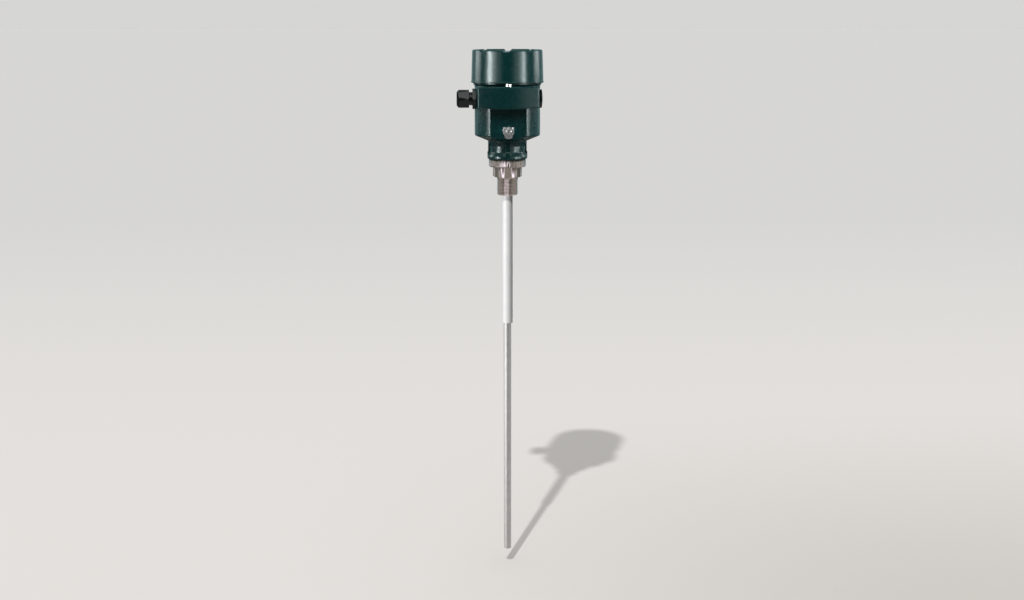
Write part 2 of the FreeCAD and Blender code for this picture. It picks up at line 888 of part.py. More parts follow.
def gland_nut():
    """The hexagonal clamping nut with a domed mouth."""
    low = gland_collar_top() + gland_nut_gap
    high = low + gland_nut_length
    corner = gland_nut_across_flats / 2 / math.cos(math.radians(30))
    blank = turned([
        (0, low),
        (corner - cast_round, low),
        (corner, low + cast_round),
        (corner, high - gland_nut_dome, dome_round),
        (gland_nut_hole / 2 + dome_round, high, shoulder_round),
        (0, high),
    ])
    solid = hexagon(gland_nut_across_flats, low, high).common(blank)
    ring_top = gland_seal_top() + running_gap + gland_ring_thickness + running_gap
    inner = gland_sleeve_diameter / 2 + running_gap
    solid = solid.cut(turned([
        (0, low),
        (inner, low),
        (inner, ring_top),
        (gland_nut_hole / 2, high - gland_nut_wall),
        (gland_nut_hole / 2, high),
        (0, high),
    ]))
    return on_left(solid)


def blind_plug():
    """The domed plug with a coin slot that closes the spare entry."""
    head = plug_head_diameter / 2
    head_top = gasket_thickness + plug_head_height
    dome_radius = (head ** 2 + plug_dome_rise ** 2) / 2 / plug_dome_rise
    flange = cylinder(head, gasket_thickness, head_top + plug_dome_rise)
    ball = Part.makeSphere(dome_radius, Vec(0, 0, head_top + plug_dome_rise - dome_radius))
    solid = flange.common(ball)
    solid = joined(solid, [cylinder(gland_shank_radius, -plug_shank_length, gasket_thickness)])
    room = gland_shank_radius - plug_shank_wall
    solid = solid.cut(cylinder(room, -plug_shank_length, gasket_thickness))
    slot_top = head_top + plug_dome_rise
    slot = block(plug_slot_width, plug_slot_length, slot_top - plug_slot_depth, slot_top)
    return on_right(solid.cut(slot))


def lid_notch():
    """One wrench notch in the lid's rim, at the front: wider at its mouth than at its foot."""
    low = lid_top - lid_rim_height
    over = lid_top + 1
    spread = (lid_notch_width - lid_notch_foot_width) / 2 / lid_rim_height
    foot = lid_notch_foot_width / 2
    mouth = foot + spread * (over - low)
    corner = ear_round
    wire = rounded_wire([(-foot, low, corner), (foot, low, corner), (mouth, over), (-mouth, over)])
    face = Part.Face(wire)
    face.translate(Vec(0, -lid_foot_radius - 1, 0))
    return face.extrude(BACK * (lid_rim_width + lid_foot_radius - lid_head_radius + 3))


def lid():
    """The cast screw lid, with a notched rim round a sunk top."""
    plate_top = lid_top - lid_rim_height
    plate_low = plate_top - lid_plate_thickness
    thread_radius = lid_thread_radius
    seal_seat = mouth_top + lid_seal_section + 2 * running_gap
    rim_inner = lid_head_radius - lid_rim_width
    solid = turned([
        (thread_radius + seat_edge, lid_low),
        (lid_foot_radius, lid_low, lid_edge_round),
        (lid_foot_radius, lid_low + lid_foot_lip_height, paint_round),
        (lid_foot_radius - lid_foot_lip, lid_low + lid_foot_lip_height + lid_edge_round, paint_round),
        (lid_head_radius, lid_top, lid_corner),
        (rim_inner, lid_top, cast_round),
        (rim_inner - seat_edge, plate_top, cast_round),
        (0, plate_top),
        (0, plate_low),
        (lid_bore_radius, plate_low, lid_room_round),
        (lid_bore_radius, mouth_top + lid_seal_section / 2),
        (lid_seal_radius - lid_seal_section / 2 - running_gap, mouth_top + lid_seal_section / 2),
        (lid_seal_radius - lid_seal_section / 2 - running_gap, seal_seat),
        (thread_radius, seal_seat),
        (thread_radius, lid_low + seat_edge),
    ])
    for notch in around(lid_notch(), lid_notch_count, lid_stop_angle):
        solid = solid.cut(notch)
    return solid


def lid_seal():
    """The lid's O-ring, carried in its step above the casting's mouth."""
    return torus(lid_seal_radius, lid_seal_section, mouth_top + lid_seal_section / 2 + running_gap)


def lock_head_low():
    """The underside of the lock screw's head when the lid is locked."""
    return lid_low - lock_head_gap - lock_head_height


def lock_washer():
    """The spring washer under the lock screw's head."""
    low = lock_head_low() - lock_washer_thickness
    outer = lock_head_diameter / 2 - 0.1
    return ring(outer, lock_shank_diameter / 2 + running_gap, low, lock_head_low(), 0, -lock_distance)


def lock_screw():
    """The socket screw whose head stands up against the lid's foot."""
    low = lock_head_low()
    high = low + lock_head_height
    radius = lock_head_diameter / 2
    head = turned([(0, low), (radius, low), (radius, high, screw_head_round), (0, high)])
    shank = cylinder(lock_shank_diameter / 2, low - lock_shank_length, low)
    screw = joined(head, [shank]).cut(hexagon(lock_socket_across_flats, high - lock_socket_depth, high))
    screw.translate(Vec(0, -lock_distance, 0))
    return screw


def earth_seat():
    """The front face of the earth terminal's pad, as a Y value."""
    return -flat_distance - earth_pad_proud


def earth_clamp():
    """The stainless saddle: a plate with two ears and a rounded tongue."""
    half = earth_clamp_width / 2
    low = -earth_clamp_drop
    corner = Vec(-half, low, 0)
    plate = Part.makeBox(earth_clamp_width, earth_clamp_height, earth_clamp_thickness, corner)
    root = earth_tongue_root / 2
    end = earth_tongue_width / 2
    end_low = low - earth_tongue_length
    outline = rounded_wire([
        (-root, 0), (root, 0), (root, low), (end, end_low, earth_tongue_round),
        (-end, end_low, earth_tongue_round), (-root, low),
    ])
    face = Part.Face(outline)
    face.rotate(Vec(0, 0, 0), Vec(1, 0, 0), -90)
    tongue = face.extrude(UP * earth_clamp_thickness)
    ears = []
    for side in (-half, half - earth_ear_thickness):
        ear = Part.makeBox(
            earth_ear_thickness, earth_clamp_height, earth_ear_reach, Vec(side, low, 0),
        )
        ears.append(ear)
    solid = joined(plate, [tongue] + ears)
    tips = []
    for edge in solid.Edges:
        box = edge.BoundBox
        if box.ZMin > earth_ear_reach - 0.01 and box.YLength < 0.01:
            tips.append(edge)
    solid = solid.makeFillet(ear_round, tips)
    hole = Part.makeCylinder(
        earth_screw_diameter / 2 + running_gap, earth_clamp_thickness, Vec(0, 0, 0), UP,
    )
    return on_earth_pad(solid.cut(hole), 0.0)


def on_earth_pad(shape, proud):
    """Seats an earth terminal piece, modelled along +Z, on the pad at the front."""
    moved = shape.copy()
    moved.rotate(Vec(0, 0, 0), Vec(1, 0, 0), 90)
    moved.translate(Vec(0, earth_seat() - proud, earth_level))
    return moved


def earth_washer():
    """The split spring washer under the earth screw's head."""
    inner = earth_screw_diameter / 2 + running_gap
    outer = earth_washer_diameter / 2
    washer = ring(outer, inner, 0, earth_washer_thickness)
    split = block(earth_washer_diameter, washer_split, 0, earth_washer_thickness, outer)
    return on_earth_pad(washer.cut(split), earth_clamp_thickness)


def earth_screw():
    """The socket screw of the outer earth terminal."""
    low = earth_clamp_thickness + earth_washer_thickness
    radius = earth_head_diameter / 2
    high = low + earth_head_height
    head = turned([(0, low), (radius, low), (radius, high, screw_head_round), (0, high)])
    shank = cylinder(
        earth_screw_diameter / 2 - thread_clearance, low - earth_screw_length + running_gap, low,
    )
    socket = hexagon(earth_socket_across_flats, high - earth_socket_depth, high)
    return on_earth_pad(joined(head, [shank]).cut(socket), 0.0)


def module_outline(low, high):
    """The module's flange: a disc with two flats that reaches over both posts and clears the front wall."""
    reach = 2 * module_flange_radius
    strip = block(reach, 2 * module_flange_half_width, low, high)
    strip.rotate(Vec(0, 0, 0), UP, post_angle)
    front = flat_distance - flat_wall - module_post_gap
    room = Part.makeBox(reach, reach, high - low, Vec(-module_flange_radius, -front, low))
    return cylinder(module_flange_radius, low, high).common(strip).common(room)


def module_body():
    """The plastic cup that holds the electronics."""
    solid = cylinder(module_radius, module_low, post_top)
    solid = joined(solid, [module_outline(post_top, module_top)])
    inner = module_radius - module_wall
    solid = solid.cut(cylinder(inner, board_low, module_top))
    solid = solid.cut(cylinder(inner - board_ledge_width, module_floor_top, board_low))
    solid = solid.cut(cylinder(socket_diameter / 2, module_low, module_floor_top))
    for post_x, post_y in post_places():
        solid = solid.cut(cylinder(
            module_screw_diameter / 2 + fit_clearance, post_top, module_top, post_x, post_y,
        ))
    return solid


def circuit_board():
    """The round board on the cup's ledge."""
    return cylinder(board_radius, board_low, board_top)


def board_components():
    """The parts soldered to the board: two capacitors, a coil and a chip."""
    parts = []
    for angle in capacitor_angles:
        x, y = board_place(angle, capacitor_radius)
        parts.append(cylinder(capacitor_radius, board_top, board_top + capacitor_height, x, y))
    x, y = board_place(coil_angle, math.hypot(coil_length, coil_width) / 2)
    parts.append(block(coil_length, coil_width, board_top, board_top + coil_height, x, y))
    x, y = board_place(chip_angle, math.hypot(chip_length, chip_width) / 2)
    parts.append(block(chip_length, chip_width, board_top, board_top + chip_height, x, y))
    return Part.makeCompound(parts)


def board_place(angle, reach):
    """Where a component of that reach stands, at an angle, just inside the board's edge."""
    distance = board_radius - reach - component_edge_gap
    turn = math.radians(angle)
    return distance * math.cos(turn), distance * math.sin(turn)


def contact_socket():
    """The brass socket that turns on the rod's spigot and carries its signal to the board."""
    tube = cylinder(socket_diameter / 2, module_low - socket_reach, board_low)
    collar = cylinder(
        socket_collar_diameter / 2, module_floor_top, module_floor_top + socket_collar_height,
    )
    bore = cylinder(
        rod_spigot_radius + socket_clearance, module_low - socket_reach, rod_top + running_gap,
    )
    return joined(tube, [collar]).cut(bore)


def pole_places():
    """The x of each terminal."""
    first = -(terminal_poles - 1) * terminal_pitch / 2
    return [first + index * terminal_pitch for index in range(terminal_poles)]


def terminal_top():
    """The top face of the terminal block."""
    return cover_top + terminal_rise


def terminal_block():
    """The screw terminals for the cable's wires, standing on the board."""
    solid = block(terminal_length, terminal_width, board_top, terminal_top())
    for pole_x in pole_places():
        entry = Part.makeBox(
            terminal_entry, terminal_width / 2 + 2, terminal_entry,
            Vec(pole_x - terminal_entry / 2, -terminal_width / 2, cover_top + pole_floor),
        )
        solid = solid.cut(entry)
        solid = solid.cut(cylinder(
            terminal_screw_diameter / 2, cover_top + pole_floor, terminal_top(), pole_x, 0,
        ))
    return solid


def terminal_screws():
    """The four slotted clamping screws of the terminals."""
    screws = []
    high = terminal_top() - pole_sink
    low = high - terminal_screw_length
    for pole_x in pole_places():
        screw = cylinder(terminal_screw_diameter / 2, low, high, pole_x, 0)
        slot = block(terminal_screw_diameter, pole_slot_width, high - pole_slot_depth, high, pole_x, 0)
        screws.append(screw.cut(slot))
    return Part.makeCompound(screws)


def module_cover():
    """The lid of the module, open for the terminals and controls."""
    solid = module_outline(module_top, cover_top)
    for post_x, post_y in post_places():
        solid = solid.cut(cylinder(
            module_screw_diameter / 2 + fit_clearance, module_top, cover_top, post_x, post_y,
        ))
    gap = 2 * fit_clearance
    solid = solid.cut(block(terminal_length + gap, terminal_width + gap, module_top, cover_top))
    solid = solid.cut(cylinder(
        lamp_diameter / 2 + fit_clearance, module_top, cover_top, control_offset, control_setback,
    ))
    solid = solid.cut(cylinder(
        adjuster_diameter / 2 + fit_clearance, module_top, cover_top, -control_offset, control_setback,
    ))
    return solid.cut(block(
        switch_knob_length + switch_travel + gap, switch_knob_width + gap, module_top, cover_top,
        0, control_setback,
    ))


def module_screws():
    """The two screws that hold the cover and the module on their posts."""
    head = module_screw_head_diameter / 2
    screws = []
    high = cover_top + module_screw_head_height
    low = high - module_screw_length
    for post_x, post_y in post_places():
        shank = cylinder(module_screw_diameter / 2, low, cover_top, post_x, post_y)
        screw = joined(cylinder(head, cover_top, high, post_x, post_y), [shank])
        slot = block(
            module_screw_head_diameter, screw_slot_width, high - screw_slot_depth, high, post_x, post_y,
        )
        screws.append(screw.cut(slot))
    return Part.makeCompound(screws)


def inner_earth_screw():
    """The screw of the inner earth terminal, on its own post."""
    earth_x, earth_y = earth_post_place()
    low = earth_post_top
    high = low + module_screw_head_height
    screw = joined(
        cylinder(module_screw_head_diameter / 2, low, high, earth_x, earth_y),
        [cylinder(module_screw_diameter / 2, low - post_hole_depth + 1, low, earth_x, earth_y)],
    )
    return screw.cut(block(
        module_screw_head_diameter, screw_slot_width, high - screw_slot_depth, high, earth_x, earth_y,
    ))


def status_lamp():
    """The light pipe from the board to the cover."""
    radius = lamp_diameter / 2
    pipe = cylinder(radius, board_top, cover_top + lamp_rise, control_offset, control_setback)
    dome = Part.makeSphere(radius, Vec(control_offset, control_setback, cover_top + lamp_rise))
    return joined(pipe, [dome])


def adjuster_base():
    """The fixed part of the adjusting potentiometer."""
    side = adjuster_base_side
    high = board_top + adjuster_base_height
    return block(side, side, board_top, high, -control_offset, control_setback)


def adjuster():
    """The potentiometer's slotted spindle."""
    low = board_top + adjuster_base_height + fit_clearance
    high = cover_top + adjuster_rise
    spindle = cylinder(adjuster_diameter / 2, low, high, -control_offset, control_setback)
    low = high - screw_slot_depth
    slot = block(adjuster_diameter, adjuster_slot, low, high, -control_offset, control_setback)
    return spindle.cut(slot)


def switch_base():
    """The fixed part of the mode switch."""
    high = board_top + switch_base_height
    return block(switch_base_length, switch_base_width, board_top, high, 0, control_setback)


def mode_switch():
    """The sliding knob of the mode switch, at the left end of its slot."""
    low = board_top + switch_base_height + fit_clearance
    high = cover_top + switch_rise
    return block(
        switch_knob_length, switch_knob_width, low, high, -switch_travel / 2, control_setback,
    )


NODES = {
    "process_fitting": process_fitting,
    "rod": rod,
    "insulation_sleeve": insulation_sleeve,
    "seal_bush": seal_bush,
    "upper_insulator": upper_insulator,
    "thrust_washer": thrust_washer,
    "disc_springs": disc_springs,
    "packing_nut": packing_nut,
    "neck_seals": neck_seals,
    "retaining_ring": retaining_ring,
    "stop_pin": stop_pin,
    "housing_body": housing_body,
    "clamp_screw": clamp_screw,
    "gland_gasket": lambda: on_left(gasket()),
    "gland_body": gland_body,
    "gland_seal": gland_seal,
    "gland_ring": gland_ring,
    "gland_nut": gland_nut,
    "plug_gasket": lambda: on_right(gasket()),
    "blind_plug": blind_plug,
    "lid": lid,
    "lid_seal": lid_seal,
    "lock_washer": lock_washer,
    "lock_screw": lock_screw,
    "earth_clamp": earth_clamp,
    "earth_washer": earth_washer,
    "earth_screw": earth_screw,
    "module_body": module_body,
    "circuit_board": circuit_board,
    "board_components": board_components,
    "contact_socket": contact_socket,
    "terminal_block": terminal_block,
    "terminal_screws": terminal_screws,
    "module_cover": module_cover,
    "module_screws": module_screws,
    "inner_earth_screw": inner_earth_screw,
    "status_lamp": status_lamp,
    "adjuster_base": adjuster_base,
    "adjuster": adjuster,
    "switch_base": switch_base,
    "mode_switch": mode_switch,
}


def main():
    os.makedirs("parts", exist_ok=True)
    for name, make in NODES.items():
        shape = make()
        shape.exportStep(os.path.join("parts", name + ".step"))
        print(name, len(shape.Solids), round(shape.Volume, 1), shape.isValid())


main()
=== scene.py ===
# %% [markdown]
# # Dressing a capacitive level probe
#
# This probe hangs in a tank. Its long rod senses how high the filling stands, and the green head on top
# holds the electronics, a cable gland and a screw lid. The solids come from the imported frame, in metres,
# with the sealing face under the hexagon at height zero and the front looking along -Y.
# We load them first.

import bmesh
import bpy
import math
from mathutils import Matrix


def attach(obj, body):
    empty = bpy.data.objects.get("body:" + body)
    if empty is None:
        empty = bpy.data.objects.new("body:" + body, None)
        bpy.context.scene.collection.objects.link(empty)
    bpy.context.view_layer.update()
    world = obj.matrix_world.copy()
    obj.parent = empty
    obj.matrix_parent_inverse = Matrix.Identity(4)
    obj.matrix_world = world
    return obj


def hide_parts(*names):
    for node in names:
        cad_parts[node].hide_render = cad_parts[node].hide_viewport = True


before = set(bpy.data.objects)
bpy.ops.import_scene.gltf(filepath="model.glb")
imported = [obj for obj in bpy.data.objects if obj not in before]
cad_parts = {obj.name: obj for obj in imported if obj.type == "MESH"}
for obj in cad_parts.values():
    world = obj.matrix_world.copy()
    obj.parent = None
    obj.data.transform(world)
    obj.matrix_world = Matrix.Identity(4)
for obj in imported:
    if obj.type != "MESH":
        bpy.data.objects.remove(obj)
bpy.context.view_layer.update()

# %% [markdown]
# ## The studio
#
# The photograph shows the probe upright over a warm pale ground, with one shadow that runs back to the
# right. The ground is a very large sheet a little below the rod's tip, since the tip floats just over its
# own shadow. Its colour grows a touch cooler and darker with distance and a touch darker towards the near
# right, as in the photograph; this is painted shade, a falloff of light painted into the sheet's colour. A
# pale ground throws a lot of light back up, which would drown the soft shading of the white sleeve, so for
# light that bounces the sheet is a plain grey. Reflections see it pale near the probe only and dark farther
# off, a painted pool of light as in a dark room with one lit sheet, which keeps the green deep. The ramps
# are in the sheet's own coordinates, where the probe stands at Y -100.

# %% Ground
GROUND_LEVEL = -0.520
GROUND_COLOR = (0.715, 0.704, 0.693)
# painted shade: a darker, cooler ground with distance and a darker one at the near right stand in for light
# that falls off
FAR_PAINTED_SHADE = (0.626, 0.632, 0.631)
RIGHT_PAINTED_SHADE = (0.568, 0.557, 0.535)
GROUND_BOUNCE = (0.12, 0.12, 0.12)
DARK_FRONT = (0.03, 0.03, 0.03)
DIM_SIDE = (0.12, 0.14, 0.14)
# painted shade that only reflections see: the ground dark outside a pool round the probe
UNLIT_PAINTED_GROUND = (0.06, 0.065, 0.065)
COOL_BACK = (0.40, 0.53, 0.56)
GROUND_SIZE = 240
GROUND_SHIFT = 100
FAR_SHADE_RAMP = (-100.0, -96.4)
RIGHT_SHADE_RAMP = (-0.3, 0.6)
NEAR_SHADE_RAMP = (-99.2, -100.35)
PAINTED_POOL_RAMP = (0.4, 1.3)
COOL_RAMP = (-98.0, -96.0)

bpy.ops.object.select_all(action="DESELECT")
bpy.ops.mesh.primitive_grid_add(
    x_subdivisions=8, y_subdivisions=8, size=GROUND_SIZE, location=(0, GROUND_SHIFT, GROUND_LEVEL),
)
ground = bpy.context.object
ground.name = "ground"


def two_tones(tree, factor, first, second):
    mix = tree.nodes.new("ShaderNodeMix")
    mix.data_type = "RGBA"
    tree.links.new(factor, mix.inputs["Factor"])
    for socket, tone in (("A", first), ("B", second)):
        if isinstance(tone, tuple):
            mix.inputs[socket].default_value = (*tone, 1)
        else:
            tree.links.new(tone, mix.inputs[socket])
    return mix.outputs["Result"]


def eased(tree, value, start, end):
    ramp = tree.nodes.new("ShaderNodeMapRange")
    ramp.interpolation_type = "SMOOTHSTEP"
    ramp.inputs["From Min"].default_value = start
    ramp.inputs["From Max"].default_value = end
    tree.links.new(value, ramp.inputs["Value"])
    return ramp.outputs["Result"]


def by_ray(tree, seen, mirrored, bounced):
    """One tone for the camera and through glass, one for reflections, one for light that bounces."""
    rays = tree.nodes.new("ShaderNodeLightPath")
    tone = two_tones(tree, rays.outputs["Is Glossy Ray"], bounced, mirrored)
    tone = two_tones(tree, rays.outputs["Is Transmission Ray"], tone, seen)
    return two_tones(tree, rays.outputs["Is Camera Ray"], tone, seen)


ground_finish = bpy.data.materials.new("ground_finish")
ground_finish.use_nodes = True
tree = ground_finish.node_tree
shader = tree.nodes["Principled BSDF"]
shader.inputs["Roughness"].default_value = 0.9
shader.inputs["Specular IOR Level"].default_value = 0.0
place = tree.nodes.new("ShaderNodeTexCoord")
split = tree.nodes.new("ShaderNodeSeparateXYZ")
tree.links.new(place.outputs["Object"], split.inputs["Vector"])
# painted shade: the sheet's seen colour darkens with distance and towards the near right, where light falls
# off
far_shade = eased(tree, split.outputs["Y"], *FAR_SHADE_RAMP)
right_shade = tree.nodes.new("ShaderNodeMath")
right_shade.operation = "MULTIPLY"
tree.links.new(eased(tree, split.outputs["X"], *RIGHT_SHADE_RAMP), right_shade.inputs[0])
tree.links.new(eased(tree, split.outputs["Y"], *NEAR_SHADE_RAMP), right_shade.inputs[1])
tone = two_tones(tree, far_shade, GROUND_COLOR, FAR_PAINTED_SHADE)
tone = two_tones(tree, right_shade.outputs[0], tone, RIGHT_PAINTED_SHADE)
from_probe = tree.nodes.new("ShaderNodeVectorMath")
from_probe.operation = "DISTANCE"
from_probe.inputs[1].default_value = (0, -GROUND_SHIFT, 0)
tree.links.new(place.outputs["Object"], from_probe.inputs[0])
# painted pool of light: reflections see the ground pale round the probe and dark outside it
outside_painted_pool = eased(tree, from_probe.outputs["Value"], *PAINTED_POOL_RAMP)
mirrored = two_tones(tree, outside_painted_pool, GROUND_COLOR, UNLIT_PAINTED_GROUND)
cool = eased(tree, split.outputs["Y"], *COOL_RAMP)
mirrored = two_tones(tree, cool, mirrored, COOL_BACK)
tree.links.new(by_ray(tree, tone, mirrored, GROUND_BOUNCE), shader.inputs["Base Color"])
ground.data.materials.append(ground_finish)
print("ground at", GROUND_LEVEL)

# %% [markdown]
# ## The world
#
# The world does two jobs. The camera sees one flat pale tone, so no horizon shows, while reflections see a
# dim room with a cool pale back wall and a pale ceiling: the green coat is a weak mirror, and would look
# milky in a pale room. The light that falls on matt surfaces comes mostly from overhead, like a ceiling
# panel, so upright faces keep some shape.

# %% World
BACKDROP_COLOR = (0.672, 0.669, 0.652)
OVERHEAD = 1.27
OVERHEAD_WARM = (1.0, 0.985, 0.965)
WALLS = (0.04, 0.04, 0.04)
OVERHEAD_RAMP = (0.45, 0.95)
FRONT_RAMP = (0.10, -0.50)
BACK_RAMP = (0.5, 0.95)
CEILING_RAMP = (0.35, 0.75)

world = bpy.data.worlds.new("studio")
world.use_nodes = True
bpy.context.scene.world = world
tree = world.node_tree
glow = tree.nodes["Background"]
place = tree.nodes.new("ShaderNodeTexCoord")
split = tree.nodes.new("ShaderNodeSeparateXYZ")
tree.links.new(place.outputs["Generated"], split.inputs["Vector"])
above = eased(tree, split.outputs["Z"], *OVERHEAD_RAMP)
overhead = two_tones(tree, above, WALLS, OVERHEAD_WARM)
lit = tree.nodes.new("ShaderNodeVectorMath")
lit.operation = "SCALE"
lit.inputs["Scale"].default_value = OVERHEAD
tree.links.new(overhead, lit.inputs[0])
in_front = eased(tree, split.outputs["Y"], *FRONT_RAMP)
behind = eased(tree, split.outputs["Y"], *BACK_RAMP)
ceiling = eased(tree, split.outputs["Z"], *CEILING_RAMP)
mirrored = two_tones(tree, in_front, DIM_SIDE, DARK_FRONT)
mirrored = two_tones(tree, behind, mirrored, COOL_BACK)
mirrored = two_tones(tree, ceiling, mirrored, BACKDROP_COLOR)
tone = by_ray(tree, BACKDROP_COLOR, mirrored, lit.outputs["Vector"])
tree.links.new(tone, glow.inputs["Color"])
print("overhead light", OVERHEAD)

# %% [markdown]
# ## Lamps
#
# One small lamp at the front left, two and a half metres up, makes the shadow, which spreads towards the
# head as in the photograph. Its light is made to grow with distance, so that the ground is lit as evenly as
# by a large lamp. All other lamps only shape the object, and light linking keeps each of them to its own
# pieces, so the ground has one shadow only.
#
# - Two bright upright stripes run down the round lid, each with a sharp outer edge and a soft inner fall.
#   Each is the mirror image of a softbox, with two dimmer ones beside it towards the front.
# - The white sleeve is brightest at its left and falls evenly to grey at its right.
# - The rod mirrors a bright panel at its left, so a light line runs down it, and a dim one at its right.
# - The steel fitting is lilac in the middle, from a cool panel in front, and brown at its sides.

# %% Lamps
KEY_PLACE = (-0.451, -1.56, 2.03)
KEY_HEIGHT = KEY_PLACE[2] - GROUND_LEVEL
KEY_LEVEL = 0.425
KEY_POWER = KEY_LEVEL * 4 * math.pi ** 2 * KEY_HEIGHT ** 2
KEY_SIZE = 0.03
CAMERA_SIDE = -2.2
UPRIGHT_REACH = 1.3
UPRIGHT_HEIGHT = 0.08
UPRIGHT_TALL = 0.60
COOL = (0.95, 1.0, 1.0)
LILAC = (0.84, 0.83, 1.0)


def softbox(name, angle, reach, height, width, tall, level, tint=(1, 1, 1), diffuse=False):
    """A panel that faces the axis, as bright as level where 1 is white; angle 0 is the camera's side."""
    turn = math.radians(angle + CAMERA_SIDE)
    data = bpy.data.lights.new(name, "AREA")
    data.shape = "RECTANGLE"
    data.size = width
    data.size_y = tall
    data.energy = level * math.pi * width * tall
    data.color = tint
    lamp = bpy.data.objects.new(name, data)
    bpy.context.scene.collection.objects.link(lamp)
    lamp.location = (reach * math.sin(turn), -reach * math.cos(turn), height)
    lamp.rotation_euler = (math.radians(90), 0, turn)
    lamp.visible_camera = False
    lamp.visible_diffuse = diffuse
    return lamp


def upright(name, angle, width, level):
    """One of the cool panels that the round coat mirrors as an upright stripe."""
    return softbox(name, angle, UPRIGHT_REACH, UPRIGHT_HEIGHT, width, UPRIGHT_TALL, level, COOL)


def only_for(lamp, pieces):
    """Lets a lamp light these pieces and nothing else."""
    group = bpy.data.collections.new(lamp.name + "_pieces")
    for piece in pieces:
        group.objects.link(piece)
    lamp.light_linking.receiver_collection = group


key_data = bpy.data.lights.new("key_lamp", "POINT")
key_data.energy = KEY_POWER
key_data.shadow_soft_size = KEY_SIZE
key_data.color = OVERHEAD_WARM
key_data.use_nodes = True
tree = key_data.node_tree
steady = tree.nodes.new("ShaderNodeLightFalloff")
steady.inputs["Strength"].default_value = 1.0 / KEY_HEIGHT ** 3
travel = tree.nodes.new("ShaderNodeLightPath")
even = tree.nodes.new("ShaderNodeMath")
even.operation = "MULTIPLY"
tree.links.new(steady.outputs["Constant"], even.inputs[0])
tree.links.new(travel.outputs["Ray Length"], even.inputs[1])
tree.links.new(even.outputs[0], tree.nodes["Emission"].inputs["Strength"])
key = bpy.data.objects.new("key_lamp", key_data)
bpy.context.scene.collection.objects.link(key)
key.location = KEY_PLACE

stripes = [
    upright("stripe_left", -57.5, 0.33, 46),
    upright("stripe_right", 53.5, 0.24, 34),
    upright("faint_right", 28, 0.36, 2.2),
]
lid_fades = [
    upright("soft_left", -43, 0.26, 9),
    upright("faint_left", -29, 0.40, 2.2),
    upright("soft_right", 42, 0.26, 7),
]
edge_right = upright("edge_right", 74, 0.14, 30)
glows = [
    softbox("glow_left", -108, 1.0, 0.35, 0.45, 0.45, 9, COOL, diffuse=True),
    softbox("glow_right", 108, 1.0, 0.35, 0.45, 0.45, 9, COOL, diffuse=True),
]
coat_top = softbox("coat_top", 0, 1.0, 1.1, 1.0, 0.8, 2.6, diffuse=True)
coat_top.rotation_euler.x = math.radians(45)
sleeve_light = softbox("sleeve_light", -55, 1.0, -0.10, 0.5, 0.5, 9.6, diffuse=True)
rod_light = softbox("rod_light", -72, 0.7, -0.29, 1.5, 0.44, 3.2)
fitting_front = softbox("fitting_front", -12, 1.2, 0.0, 1.3, 1.0, 3.0, LILAC)
side_left = softbox("side_left", -95, 0.8, 0.0, 1.3, 0.9, 0.55)
side_right = softbox("side_right", 88, 0.8, -0.1, 1.5, 0.9, 0.60)
front_fill = softbox("front_fill", -4, 0.9, -0.1, 1.7, 0.8, 0.55)

# %% [markdown]
# ## Camera
#
# The head is nearly at eye level, while we look down on the foot of the rod, so the lens stands a little
# above the lid, well back, and tilts down. The terminal on the front sits a pixel right of the axis, which
# says that the camera stands about two degrees to the left.

# %% Camera
AZIMUTH = math.radians(CAMERA_SIDE)
DISTANCE = 1.8
LENS_HEIGHT = 0.1919
LENS = 49.6
DOWNWARDS = 11.08
HEADING = -2.387
camera_data = bpy.data.cameras.new("camera")
camera_data.lens = LENS
camera_data.sensor_width = 36.0
camera_data.clip_end = 400
camera = bpy.data.objects.new("camera", camera_data)
bpy.context.scene.collection.objects.link(camera)
camera.location = (DISTANCE * math.sin(AZIMUTH), -DISTANCE * math.cos(AZIMUTH), LENS_HEIGHT)
camera.rotation_euler = (math.radians(90 - DOWNWARDS), 0, math.radians(HEADING))
bpy.context.scene.camera = camera
bpy.context.scene.view_settings.view_transform = "Standard"
print("camera at", [round(v, 3) for v in camera.location])

# %% [markdown]
# ## Helpers for finishes
#
# Every finish here is a Principled shader fed by a few noise patterns in Object coordinates, so it needs no
# pictures and stays on the piece when the piece turns. Four small helpers keep the cells below short: a new
# material, a noise, a ramp between two values, and a bump.


# %% Finish helpers
def finish(name, color, rough, metal=0.0, specular=0.5):
    material = bpy.data.materials.new(name)
    material.use_nodes = True
    shader = material.node_tree.nodes["Principled BSDF"]
    shader.inputs["Base Color"].default_value = (*color, 1)
    shader.inputs["Roughness"].default_value = rough
    shader.inputs["Metallic"].default_value = metal
    shader.inputs["Specular IOR Level"].default_value = specular
    return material


def add(material, kind, **values):
    node = material.node_tree.nodes.new(kind)
    for key, value in values.items():
        node.inputs[key.replace("_", " ")].default_value = value
    return node


def wire(material, source, target):
    material.node_tree.links.new(source, target)


def coordinates(material, scale=(1, 1, 1)):
    place = add(material, "ShaderNodeTexCoord")
    mapping = add(material, "ShaderNodeMapping", Scale=scale)
    wire(material, place.outputs["Object"], mapping.inputs["Vector"])
    return mapping.outputs["Vector"]


def noise(material, vector, scale, detail=2.0):
    node = add(material, "ShaderNodeTexNoise", Scale=scale, Detail=detail)
    wire(material, vector, node.inputs["Vector"])
    return node.outputs["Fac"]


def spread(material, value, low, high, start=0.3, end=0.7):
    node = add(
        material, "ShaderNodeMapRange",
        From_Min=start, From_Max=end, To_Min=low, To_Max=high,
    )
    wire(material, value, node.inputs["Value"])
    return node.outputs["Result"]


def blend_colors(material, factor, first, second):
    node = add(material, "ShaderNodeMix")
    node.data_type = "RGBA"
    node.inputs["A"].default_value = (*first, 1)
    node.inputs["B"].default_value = (*second, 1)
    wire(material, factor, node.inputs["Factor"])
    return node.outputs["Result"]


